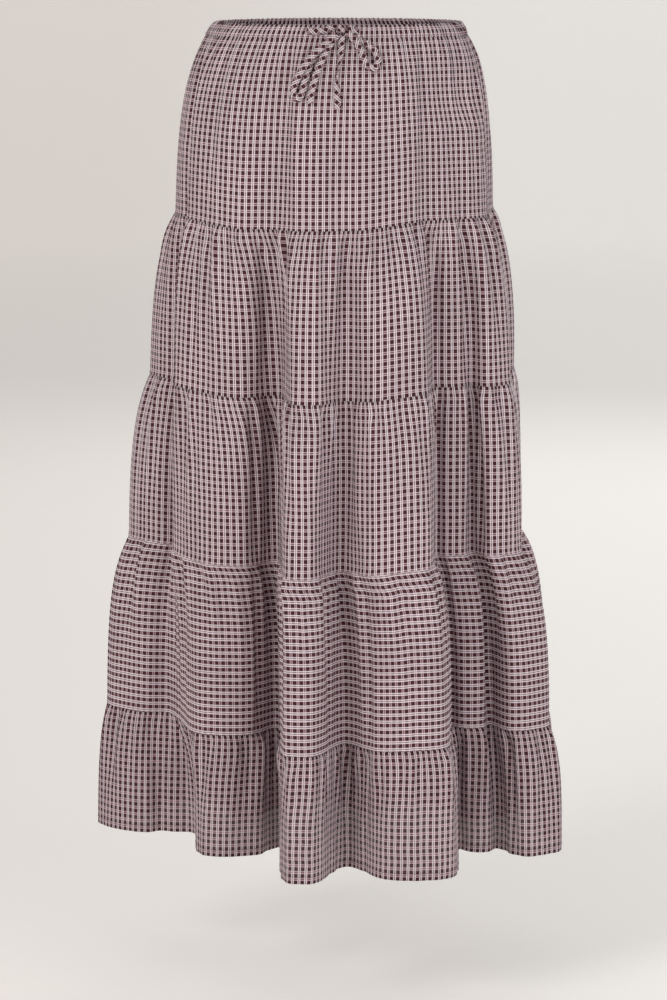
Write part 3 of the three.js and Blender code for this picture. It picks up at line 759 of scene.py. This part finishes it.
CAMERA_PLACE = (-0.006, -5.0, 0.190)
CAMERA_PITCH = 8.457
CAMERA_LENS = 156.6
WORLD_TONE = (0.96, 0.955, 0.95, 1)
WORLD_STRENGTH = 0.38

# The round stage: its height, where its floor starts to bend up, the radius of that bend and its top edge.
FLOOR_Z = -1.12
FLOOR_RADIUS = 10.0
STAGE_BEND = 2.4
STAGE_TOP = 3.0
STAGE_SIDES = 96
BEND_STEPS = 16


def add_camera():
    data = bpy.data.cameras.new("camera")
    data.lens = CAMERA_LENS
    data.sensor_width = 36
    camera = bpy.data.objects.new("camera", data)
    camera.location = CAMERA_PLACE
    camera.rotation_euler = (math.radians(90 - CAMERA_PITCH), 0, 0)
    bpy.context.scene.collection.objects.link(camera)
    bpy.context.scene.camera = camera


def add_stage():
    """A pale round floor that curves up into a low wall, far away on all sides."""
    profile = [(radius, FLOOR_Z) for radius in (0.0002, 2.0, 5.0)]
    for k in range(BEND_STEPS + 1):
        angle = k / BEND_STEPS * math.pi / 2
        rise = STAGE_BEND * (1 - math.cos(angle))
        profile.append((FLOOR_RADIUS + STAGE_BEND * math.sin(angle), FLOOR_Z + rise))
    profile.append((FLOOR_RADIUS + STAGE_BEND, STAGE_TOP))
    turns = np.arange(STAGE_SIDES) / STAGE_SIDES * TAU
    points = np.array([[(r * math.cos(t), r * math.sin(t), z) for t in turns] for r, z in profile])
    floor = grid_object("stage_floor", points, points[..., :2], wrap=True)
    floor.data.materials.append(stage_material())


Lamp = namedtuple("Lamp", "name place target size power colour")
LAMPS = [
    Lamp("key", (-2.4, -3.2, 1.5), (0, 0, -0.3), 1.6, 66, (1.0, 0.99, 0.975)),
    Lamp("fill", (2.6, -3.4, 0.6), (0, 0, -0.3), 2.2, 43, (0.985, 0.99, 1.0)),
    Lamp("back", (0.8, 4.5, 1.6), (0, 0, -0.4), 2.4, 26, (1.0, 0.995, 0.99)),
]


def add_lights():
    for lamp in LAMPS:
        data = bpy.data.lights.new(lamp.name, "AREA")
        data.size = lamp.size
        data.energy = lamp.power
        data.color = lamp.colour
        light = bpy.data.objects.new(lamp.name, data)
        light.location = lamp.place
        way = Vector(lamp.target) - Vector(lamp.place)
        light.rotation_euler = way.to_track_quat("-Z", "Y").to_euler()
        bpy.context.scene.collection.objects.link(light)
    world = bpy.data.worlds.new("studio")
    world.use_nodes = True
    background = world.node_tree.nodes["Background"]
    background.inputs["Color"].default_value = WORLD_TONE
    background.inputs["Strength"].default_value = WORLD_STRENGTH
    bpy.context.scene.world = world
    bpy.context.scene.view_settings.view_transform = "Standard"


add_camera()
add_stage()
add_lights()

CHECK = check_material("check_cloth")
TURNED_CHECK = check_material("turned_check_cloth", turn=90)
SHEER_CHECK = check_material("sheer_check_cloth", cover=0.80)
BIAS = check_material("bias_strip", turn=45, tone=0.8, through=0.05)
SEWING = thread_material()


# Drawstring

Tie = namedtuple("Tie", "name route rolls")
# Each route point is x, drop below the waist edge and distance off the cloth.
TIES = [
    Tie("drawstring_left_lead",
        [(-0.035, 0.006, 0.004), (-0.027, 0.007, 0.0044), (-0.016, 0.006, 0.0046), (-0.0046, 0.002, 0.005)],
        (0, 0)),
    Tie("drawstring_right_lead",
        [(0.022, 0.006, 0.004), (0.017, 0.006, 0.0044), (0.013, 0.004, 0.0046), (0.0093, 0.002, 0.005)],
        (0, 0)),
    Tie("drawstring_left_loop",
        [(-0.0036, 0.008, 0.0106), (-0.016, 0.021, 0.011), (-0.032, 0.037, 0.0104), (-0.042, 0.056, 0.009),
         (-0.047, 0.074, 0.0075), (-0.044, 0.081, 0.0055), (-0.040, 0.074, 0.0036), (-0.036, 0.056, 0.0036),
         (-0.029, 0.038, 0.0037), (-0.016, 0.024, 0.0039), (-0.007, 0.014, 0.0042)],
        (0, 0)),
    Tie("drawstring_right_loop",
        [(0.0084, 0.0076, 0.010), (0.018, 0.017, 0.0094), (0.026, 0.031, 0.0086), (0.030, 0.042, 0.0076),
         (0.037, 0.047, 0.0064), (0.043, 0.041, 0.005), (0.039, 0.028, 0.004), (0.030, 0.020, 0.0038),
         (0.020, 0.015, 0.004), (0.010, 0.0092, 0.0048)],
        (0, 0)),
    Tie("drawstring_left_tail",
        [(-0.0014, 0.0094, 0.0076), (-0.012, 0.024, 0.0069), (-0.022, 0.046, 0.0064), (-0.028, 0.066, 0.0064),
         (-0.032, 0.086, 0.006)],
        (0, 10)),
    Tie("drawstring_middle_tail",
        [(0.0034, 0.0102, 0.0048), (0.002, 0.024, 0.0042), (0, 0.044, 0.0036), (-0.003, 0.066, 0.0034),
         (-0.002, 0.092, 0.0034)],
        (0, 12, 88, 168, 180)),
]


def on_front(x, drop, stand_off):
    """A point in front of the skirt at x and at a drop, at a distance off the cloth."""
    section = Section(0, max(drop, 0))
    low, high = 0.0, 1.0
    for _ in range(24):
        middle = (low + high) / 2
        if section.at("front", np.array([middle]))[0][0, 0] < x:
            low = middle
        else:
            high = middle
    place, outward = section.at("front", np.array([low]))
    point = place[0] + outward[0] * stand_off
    point[2] = -drop
    return point


PATH_STEP = 0.0016
PATH_FINE_STEPS = 1200
STRIP_SIDES = 18
STRIP_CRINKLE = 0.22
STRIP_CRINKLE_SPACING = 0.009
STRIP_NARROWING = 0.05
STRIP_NARROWING_SPACING = 0.021
STRIP_CAP = 0.0003


def even_path(points, step):
    """Points at even steps along a smooth curve through the given ones, and its length."""
    fine = spline(np.array(points), np.linspace(0, 1, PATH_FINE_STEPS), closed=False)
    lengths = np.concatenate([[0], np.cumsum(np.linalg.norm(np.diff(fine, axis=0), axis=1))])
    count = max(4, int(round(lengths[-1] / step)))
    wanted = np.linspace(0, lengths[-1], count + 1)
    return np.stack([np.interp(wanted, lengths, fine[:, k]) for k in range(3)], axis=-1), lengths[-1]


def strip_mesh(name, path, width, thickness, rolls, seed):
    """A flat sewn strip along a path, with soft edges and small creases."""
    way = np.gradient(path, axis=0)
    way /= np.linalg.norm(way, axis=1, keepdims=True)
    across = np.cross(np.array([0, 1.0, 0]), way)
    across /= np.linalg.norm(across, axis=1, keepdims=True)
    face = np.cross(way, across)
    steps = np.concatenate([[0], np.cumsum(np.linalg.norm(np.diff(path, axis=0), axis=1))])
    roll = np.interp(np.linspace(0, 1, len(path)), np.linspace(0, 1, len(rolls)), rolls)
    roll = np.radians(roll)[:, None]
    side_way = across * np.cos(roll) + face * np.sin(roll)
    face_way = face * np.cos(roll) - across * np.sin(roll)
    angles = np.arange(STRIP_SIDES) / STRIP_SIDES * TAU
    flat = np.sign(np.cos(angles)) * np.sqrt(np.abs(np.cos(angles))) * width / 2
    thick = np.sin(angles) * thickness / 2
    crinkle = STRIP_CRINKLE * ridges(steps, STRIP_CRINKLE_SPACING, seed)[:, None]
    crease = 1 + crinkle * np.sign(np.sin(angles))[None]
    narrow = 1 - STRIP_NARROWING * (1 + ridges(steps, STRIP_NARROWING_SPACING, seed + 1))[:, None]
    offsets = (flat * narrow)[..., None] * side_way[:, None] + (thick * crease)[..., None] * face_way[:, None]
    points = path[:, None] + offsets
    first = np.repeat((path[0] - way[0] * STRIP_CAP)[None, None], STRIP_SIDES, 1)
    last = np.repeat((path[-1] + way[-1] * STRIP_CAP)[None, None], STRIP_SIDES, 1)
    points = np.concatenate([first, points, last])
    along = np.concatenate([[steps[0]], steps, [steps[-1]]])
    uvs = np.stack(np.broadcast_arrays((flat + width / 2)[None], along[:, None]), axis=-1)
    return grid_object(name, points, uvs, wrap=True)


def tie(spec, seed):
    path, length = even_path([on_front(*point) for point in spec.route], PATH_STEP)
    obj = strip_mesh(spec.name + "_strip", path, TIE_WIDTH, TIE_THICKNESS, spec.rolls, seed)
    dress(obj, BIAS, spec.name)
    return obj, path, length


KNOT = {"x": 0.0024, "drop": 0.004, "width": 0.012, "height": 0.011, "depth": 0.008, "stand_off": 0.007}
KNOT_RINGS = 30
KNOT_SIDES = 44
KNOT_UPRIGHT_GROOVE = 0.10
KNOT_CROSSING_GROOVE = 0.08


def knot():
    """The bow's knot: a crossing strip pulled tight over a bunched core."""
    centre = on_front(KNOT["x"], KNOT["drop"], KNOT["stand_off"])
    up = np.linspace(0, math.pi, KNOT_RINGS)[:, None]
    turn = np.arange(KNOT_SIDES)[None] / KNOT_SIDES * TAU
    up, turn = np.broadcast_arrays(up, turn)
    shape = np.stack([np.sin(up) * np.cos(turn), np.sin(up) * np.sin(turn), np.cos(up)], axis=-1)
    upright = KNOT_UPRIGHT_GROOVE * np.cos(3 * turn + 2.2 * np.cos(up)) ** 8
    crossing = KNOT_CROSSING_GROOVE * np.cos(2.6 * up + 1.2 * np.cos(turn)) ** 6
    size = np.array([KNOT["width"], KNOT["depth"], KNOT["height"]]) / 2
    points = centre + shape * (1 - upright - crossing)[..., None] * size
    uvs = np.stack([turn, up], axis=-1) * KNOT["width"] / 2
    obj = grid_object("drawstring_knot_wrap", points, uvs, wrap=True)
    dress(obj, BIAS, "drawstring_knot")
    return obj


def bow():
    for k, spec in enumerate(TIES):
        tie(spec, 900 + 7 * k)
    middle = knot()


bow()


# Casing

CASING_COLUMN_WIDTH = 0.0018
CASING_LENGTH = 0.034
# Drop, distance off the solid's face, and the cloth's own length, round the tube from its foot in front.
CASING_PROFILE = [
    (0.0156, -0.0004, 0), (0.0150, 0.0004, 0.0008), (0.0142, 0.0009, 0.002), (0.012, 0.0013, 0.004),
    (0.009, 0.0016, 0.007), (0.006, 0.0016, 0.010), (0.003, 0.0012, 0.013), (0.0012, 0.0007, 0.015),
    (0.0003, 0.0001, 0.016), (0.0000, -0.0007, 0.017), (0.0004, -0.0015, 0.018), (0.003, -0.0021, 0.021),
    (0.008, -0.0024, 0.026), (0.013, -0.0022, 0.031), (0.0154, -0.0015, CASING_LENGTH),
]
# The casing's crinkles: a wide and a narrow kind across it, and the waves of its top edge.
Crinkle = namedtuple("Crinkle", "depth spacing")
WIDE_CRINKLE = Crinkle(0.0007, 0.0082)
NARROW_CRINKLE = Crinkle(0.0004, 0.0045)
EDGE_CRINKLE = Crinkle(0.0006, 0.0095)
CRINKLE_FOOT = 0.0165
EDGE_CRINKLE_FOOT = 0.010
CASING_SEAM_SINK = 0.0005


def casing_row(side, share, drop, out):
    """One row round the casing at a drop, off the solid's face, and the ways it faces."""
    flat_width = FLAT_WIDTHS[side][0]
    across = share * flat_width
    seed = 700 if side == "front" else 750
    place, outward = Section(0, drop).at(side, share + bunched(share, 0))
    strength = 0.45 + 0.55 * math.sin(math.pi * min(1, max(0, 1 - drop / CRINKLE_FOOT)) * 0.6 + 0.3)
    crinkle = WIDE_CRINKLE.depth * ridges(across + 0.25 * drop, WIDE_CRINKLE.spacing, seed)
    crinkle += NARROW_CRINKLE.depth * ridges(across, NARROW_CRINKLE.spacing, seed + 1)
    lift = EDGE_CRINKLE.depth * ridges(across, EDGE_CRINKLE.spacing, seed + 2)
    lift *= smoothstep(-drop, -EDGE_CRINKLE_FOOT, 0)
    offset = large_gathers(share, drop, 0, LEVELS[1].drop) + strength * crinkle + out
    edge = np.minimum(share, 1 - share) * flat_width
    offset = offset - CASING_SEAM_SINK * (1 - smoothstep(edge, 0, SEAM_SINK_FADE))
    row = place + outward * offset[:, None]
    row[:, 2] += lift
    return row, outward


def casing(side):
    """The drawstring casing: a narrow tube of cloth, drawn up in fine crinkles."""
    flat_width = FLAT_WIDTHS[side][0]
    columns = int(round(flat_width / CASING_COLUMN_WIDTH))
    share = np.linspace(0, 1, columns + 1)
    across = share * flat_width
    points, uvs = [], []
    for drop, out, length in CASING_PROFILE:
        points.append(casing_row(side, share, drop, out)[0])
        uvs.append(np.stack([across, np.full_like(across, 0.002 - length)], axis=-1))
    obj = grid_object(f"casing_{side}", np.array(points)[::-1], np.array(uvs)[::-1])
    thicken(obj)
    dress(obj, CHECK, f"waist_casing_{side}")
    return obj


# Tiers

Tier = namedtuple("Tier", "name cloth slot")
TIERS = [
    Tier("yoke", CHECK, "check_cloth"),
    Tier("tier_2", CHECK, "check_cloth"),
    Tier("tier_3", CHECK, "check_cloth"),
    Tier("tier_4", TURNED_CHECK, "turned_check_cloth"),
    Tier("tier_5", SHEER_CHECK, "check_cloth"),
]


def tier_panel(index, side):
    """One side of a tier, cut as wide as FLAT_WIDTHS says and as long as its rows reach."""
    tier = TIERS[index]
    node = f"{tier.name}_{side}"
    panel = cloth_panel(f"{node}_cloth", index, side)
    dress(panel, tier.cloth, node)
    rows = panel_rows(index, LEVELS[index + 1].drop - LEVELS[index].drop)


for panel_side in PANELS:
    casing_piece = casing(panel_side)
    for tier_index in range(len(TIERS)):
        tier_panel(tier_index, panel_side)


# Pocket bag

BAG = {"top": 0.026, "bottom": 0.205, "reach": 0.118, "behind": 0.008, "wall": 0.002, "clear": 0.003585}


BAG_ROWS = 46
BAG_COLUMNS = 34
BAG_STAND_OFF = 0.0002
BAG_WRINKLE = Crinkle(0.0004, 0.021)


def bag_reach(share):
    """How far the bag reaches from the seam at a share of its height, for a rounded outline."""
    rounded = math.sin(math.pi * min(1, 0.28 + 0.62 * share))
    return BAG["reach"] * (0.55 + 0.45 * rounded)


def pocket_bag():
    """A closed bag of thin cloth behind the front yoke, beside the mouth in the side seam."""
    outer, inner, uvs = [], [], []
    for row in range(BAG_ROWS + 1):
        share = row / BAG_ROWS
        drop = mix(BAG["top"], BAG["bottom"], share)
        section = Section(0, drop)
        from_seam = np.linspace(-bag_reach(share), BAG["behind"], BAG_COLUMNS + 1)
        place = np.empty((BAG_COLUMNS + 1, 3))
        outward = np.empty((BAG_COLUMNS + 1, 3))
        for side, chosen in (("front", from_seam < 0), ("back", from_seam >= 0)):
            length = section.length(side)
            shares = 1 + from_seam[chosen] / length if side == "front" else from_seam[chosen] / length
            place[chosen], outward[chosen] = section.at(side, shares)
        wrinkle = BAG_WRINKLE.depth * ridges(from_seam + 0.4 * drop + 0.2, BAG_WRINKLE.spacing, 811)
        outer.append(place - outward * (BAG["clear"] + BAG_STAND_OFF - wrinkle)[:, None])
        inner.append(place - outward * (BAG["clear"] + BAG["wall"] - wrinkle)[:, None])
        uvs.append(np.stack([from_seam, np.full_like(from_seam, drop)], axis=-1))
    grid = np.concatenate([np.array(outer), np.array(inner)[:, ::-1]], axis=1)
    coordinates = np.concatenate([np.array(uvs), np.array(uvs)[:, ::-1]], axis=1)
    middle = mix(grid, grid[:, ::-1], 0.5)
    grid = np.concatenate([middle[:1], grid, middle[-1:]])
    coordinates = np.concatenate([coordinates[:1], coordinates, coordinates[-1:]])
    obj = grid_object("pocket_bag_cloth", grid, coordinates, wrap=True)
    dress(obj, CHECK, "pocket_bag")


pocket_bag()


# Sewing

Stitch = namedtuple("Stitch", "length gap width thickness lift")
STITCH = Stitch(0.0024, 0.0007, 0.00042, 0.00034, 0.00012)


def stitch_line(name, points, outward):
    """A row of small stitches along a line on the cloth."""
    lengths = np.concatenate([[0], np.cumsum(np.linalg.norm(np.diff(points, axis=0), axis=1))])
    pitch = STITCH.length + STITCH.gap
    starts = np.arange(int(lengths[-1] / pitch)) * pitch + STITCH.gap
    at = starts[:, None] + np.array([0, 0.2, 0.8, 1]) * STITCH.length
    centre = np.stack([np.interp(at, lengths, points[:, k]) for k in range(3)], axis=-1)
    up = np.stack([np.interp(at, lengths, outward[:, k]) for k in range(3)], axis=-1)
    up /= np.linalg.norm(up, axis=-1, keepdims=True)
    way = np.broadcast_to((centre[:, -1] - centre[:, 0])[:, None], up.shape)
    side = np.cross(up, way)
    side /= np.linalg.norm(side, axis=-1, keepdims=True)
    # Each stitch has four stations along it with four corners each, small at its two ends.
    size = np.array([0.3, 1, 1, 0.3])[None, :, None, None]
    turn = (np.arange(4) * TAU / 4)[None, None, :, None]
    half_wide = side[:, :, None] * STITCH.width / 2
    half_thick = up[:, :, None] * STITCH.thickness / 2
    ring = np.cos(turn) * half_wide + np.sin(turn) * half_thick
    rise = up * (np.array([0, 1, 1, 0]) * STITCH.lift)[None, :, None]
    vertices = ((centre + rise)[:, :, None] + size * ring).reshape(-1, 3)
    faces = []
    for stitch in range(len(starts)):
        first = 16 * stitch
        faces.append((first + 3, first + 2, first + 1, first))
        faces.append((first + 12, first + 13, first + 14, first + 15))
        for station in range(3):
            low = first + 4 * station
            faces += [(low + k, low + (k + 1) % 4, low + 4 + (k + 1) % 4, low + 4 + k) for k in range(4)]
    obj = new_object(name, vertices, faces)
    obj.data.materials.append(SEWING)
    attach(obj, "root")


def hem_stitches(side):
    bottom = len(LEVELS) - 2
    height = LEVELS[-1].drop - LEVELS[-2].drop
    columns = int(round(FLAT_WIDTHS[side][bottom] / COLUMN_WIDTH))
    row = Row(height - HEM_TURN + 0.0012, 0.0001, 0, 1)
    stitch_line(f"hem_stitches_{side}", *cloth_row(bottom, side, row, columns))


def casing_stitches(side):
    across = np.linspace(0, 1, int(FLAT_WIDTHS[side][0] / COLUMN_WIDTH))
    points, outward = casing_row(side, across, 0.0133, 0.0012)
    stitch_line(f"casing_stitches_{side}", points, outward)


def pocket_mouth_stitches():
    """A row beside the free front edge of the pocket mouth."""
    columns = int(round(FLAT_WIDTHS["front"][0] / COLUMN_WIDTH))
    points, outward = [], []
    for v in np.linspace(MOUTH_TOP + 0.004, MOUTH_BOTTOM, 30):
        row, facing = cloth_row(0, "front", Row(v, 0.0001, 0, 1), columns)
        lengths = np.cumsum(np.linalg.norm(np.diff(row, axis=0), axis=1))
        inner = np.searchsorted(lengths, lengths[-1] - MOUTH_STITCH_INSET)
        points.append(row[inner + 1])
        outward.append(facing[inner + 1])
    stitch_line("pocket_mouth_stitches", np.array(points), np.array(outward))


for panel_side in PANELS:
    hem_stitches(panel_side)
    casing_stitches(panel_side)
pocket_mouth_stitches()
